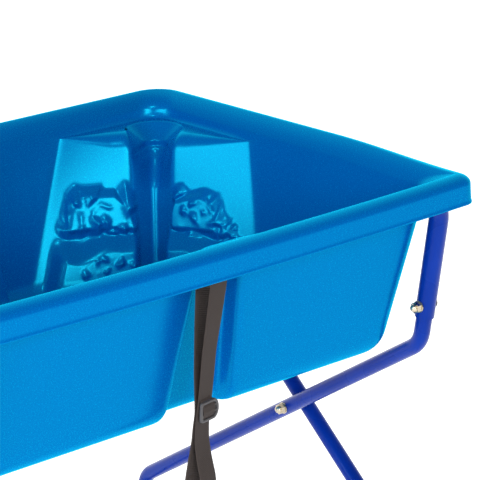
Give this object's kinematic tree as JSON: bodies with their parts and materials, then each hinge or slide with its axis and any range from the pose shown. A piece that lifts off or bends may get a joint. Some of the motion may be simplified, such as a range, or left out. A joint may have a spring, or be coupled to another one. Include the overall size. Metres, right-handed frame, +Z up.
{
  "type": "folding stand play tub",
  "caption": "Rectangular open-topped plastic tub with a moulded waterfall corner, resting on a folding stand of crossed bent tubes with a webbing strap.",
  "frame": {"origin": "on the floor under the middle of the tub", "axes": "+X along the tub's long sides towards the waterfall corner's end, +Y from the strap side to the rear, +Z up"},
  "size_m": [0.784, 0.694, 0.694],
  "materials": {
    "tub_plastic": "glossy",
    "tube_paint": "glossy",
    "zinc": "satin",
    "spacer_plastic": "matte",
    "foot_rubber": "matte",
    "webbing": "matte",
    "buckle_plastic": "satin"
  },
  "bodies": {
    "floor_shoes": {"inner_rail_shoes": "foot_rubber"},
    "inner_frame": {"inner_top_tube": "tube_paint", "inner_leg_tube": "tube_paint", "inner_leg_bolts": "zinc", "inner_leg_nuts": "zinc", "inner_leg_washers": "zinc"},
    "pivot": {"pivot_bolts": "zinc", "pivot_nuts": "zinc", "pivot_washers": "zinc", "pivot_spacers": "spacer_plastic"},
    "outer_frame": {"outer_top_tube": "tube_paint", "outer_leg_tube": "tube_paint", "outer_leg_bolts": "zinc", "outer_leg_nuts": "zinc", "outer_leg_washers": "zinc"},
    "outer_shoes": {"outer_rail_shoes": "foot_rubber"},
    "strap": {"strap_loop": "webbing", "strap_buckle": "buckle_plastic"},
    "tub": {"tub_shell": "tub_plastic"}
  },
  "joints": [
    {"name": "tub_lift", "type": "slide", "parent": "pivot", "child": "tub", "axis": [0, 0, 1], "range_m": [0, 1.36]},
    {"name": "inner_fold", "type": "hinge", "parent": "floor_shoes", "child": "inner_frame", "pos_m": [0, 0.333, 0.014], "axis": [-1, 0, 0], "range_deg": [0, 34]},
    {"name": "pivot_turn", "type": "hinge", "parent": "inner_frame", "child": "pivot", "pos_m": [0, 0, 0.3045], "axis": [1, 0, 0], "range_deg": [0, 34]},
    {"name": "outer_fold", "type": "hinge", "parent": "pivot", "child": "outer_frame", "pos_m": [0, 0, 0.3045], "axis": [1, 0, 0], "range_deg": [0, 34]},
    {"name": "outer_shoe_turn", "type": "hinge", "parent": "outer_frame", "child": "outer_shoes", "pos_m": [0, -0.333, 0.014], "axis": [-1, 0, 0], "range_deg": [0, 34]},
    {"name": "strap_hang", "type": "hinge", "parent": "inner_frame", "child": "strap", "pos_m": [0, -0.2962, 0.6675], "axis": [1, 0, 0], "range_deg": [0, 34]}
  ],
  "couplings": [
    {"joint": "inner_fold", "follows": "tub_lift", "rad_per_m": 0.43632},
    {"joint": "pivot_turn", "follows": "tub_lift", "rad_per_m": 0.43632},
    {"joint": "outer_fold", "follows": "tub_lift", "rad_per_m": 0.43632},
    {"joint": "outer_shoe_turn", "follows": "tub_lift", "rad_per_m": 0.43632},
    {"joint": "strap_hang", "follows": "tub_lift", "rad_per_m": 0.43632}
  ]
}
